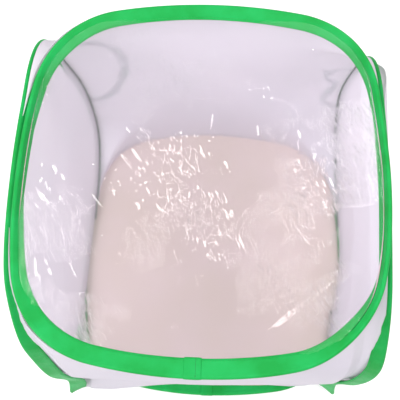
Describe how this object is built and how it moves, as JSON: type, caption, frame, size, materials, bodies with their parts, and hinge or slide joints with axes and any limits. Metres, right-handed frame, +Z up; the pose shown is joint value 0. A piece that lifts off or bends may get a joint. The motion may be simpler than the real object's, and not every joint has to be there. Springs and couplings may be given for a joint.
{
  "type": "butterfly rearing cage",
  "caption": "Pop-up cube rearing cage: hoop-framed clear window, cloth sides and floor in green binding, soft end panels, rear strap loops and a side zip; folds flat.",
  "frame": {"origin": "middle of the floor hoop, on the plane that the floor binding stands on", "axes": "+Z up to the clear window, -Y towards the front end panel, +X towards the side with the zip"},
  "size_m": [0.409, 0.402, 0.4126],
  "materials": {
    "binding_tape": "smooth woven polyester tape",
    "strap_tape": "smooth woven polyester tape",
    "white_cloth": "thin plain-woven cloth",
    "floor_cloth": "thin plain-woven cloth",
    "clear_film": "glossy, lightly creased soft film",
    "spring_steel": "blued spring strip",
    "crimp_metal": "plain crimped sleeve",
    "zip_tape": "woven tape",
    "zip_teeth": "moulded, smooth",
    "slider_metal": "white enamel"
  },
  "bodies": {
    "floor": {"floor_binding": "binding_tape", "floor_hoop": "spring_steel", "floor_hoop_sleeve": "crimp_metal", "floor_panel": "floor_cloth", "front_panel": "white_cloth", "rear_panel": "white_cloth"},
    "left_side": {"left_binding": "binding_tape", "left_hoop": "spring_steel", "left_hoop_sleeve": "crimp_metal", "left_panel": "white_cloth", "left_strap": "strap_tape"},
    "right_side": {"right_binding": "binding_tape", "right_hoop": "spring_steel", "right_hoop_sleeve": "crimp_metal", "right_panel": "white_cloth", "right_strap": "strap_tape", "zip_tape_upper": "zip_tape", "zip_tape_lower": "zip_tape", "zip_teeth_upper": "zip_teeth", "zip_teeth_lower": "zip_teeth", "zip_end_stops": "zip_teeth"},
    "window": {"window_binding": "binding_tape", "window_hoop": "spring_steel", "window_hoop_sleeve": "crimp_metal", "window_film": "clear_film"},
    "zip_slider": {"zip_slider": "slider_metal"},
    "zip_pull": {"zip_pull": "slider_metal"}
  },
  "joints": [
    {"name": "left_fold", "type": "hinge", "parent": "floor", "child": "left_side", "pos_m": [-0.197, 0, 0.0063], "axis": [0, 1, 0], "range_deg": [0, 88], "stiffness_Nm_per_rad": 2.5, "springref_deg": -11.46, "deforming": ["front_panel", "rear_panel"]},
    {"name": "right_fold", "type": "hinge", "parent": "floor", "child": "right_side", "pos_m": [0.203, 0, 0.0063], "axis": [0, 1, 0], "range_deg": [0, 88]},
    {"name": "window_fold", "type": "hinge", "parent": "left_side", "child": "window", "pos_m": [-0.203, 0, 0.4063], "axis": [0, 1, 0], "range_deg": [-88, 0]},
    {"name": "zip_slide", "type": "slide", "parent": "right_side", "child": "zip_slider", "axis": [0, -1, 0], "range_m": [0, 0.217], "deforming": ["zip_teeth_upper", "zip_teeth_lower"]},
    {"name": "pull_swing", "type": "hinge", "parent": "zip_slider", "child": "zip_pull", "pos_m": [0.20395, 0.1118, 0.3513], "axis": [0, 0, 1], "range_deg": [0, 125]}
  ],
  "couplings": [
    {"joint": "right_fold", "follows": "left_fold", "ratio": 1},
    {"joint": "window_fold", "follows": "left_fold", "ratio": -1}
  ]
}
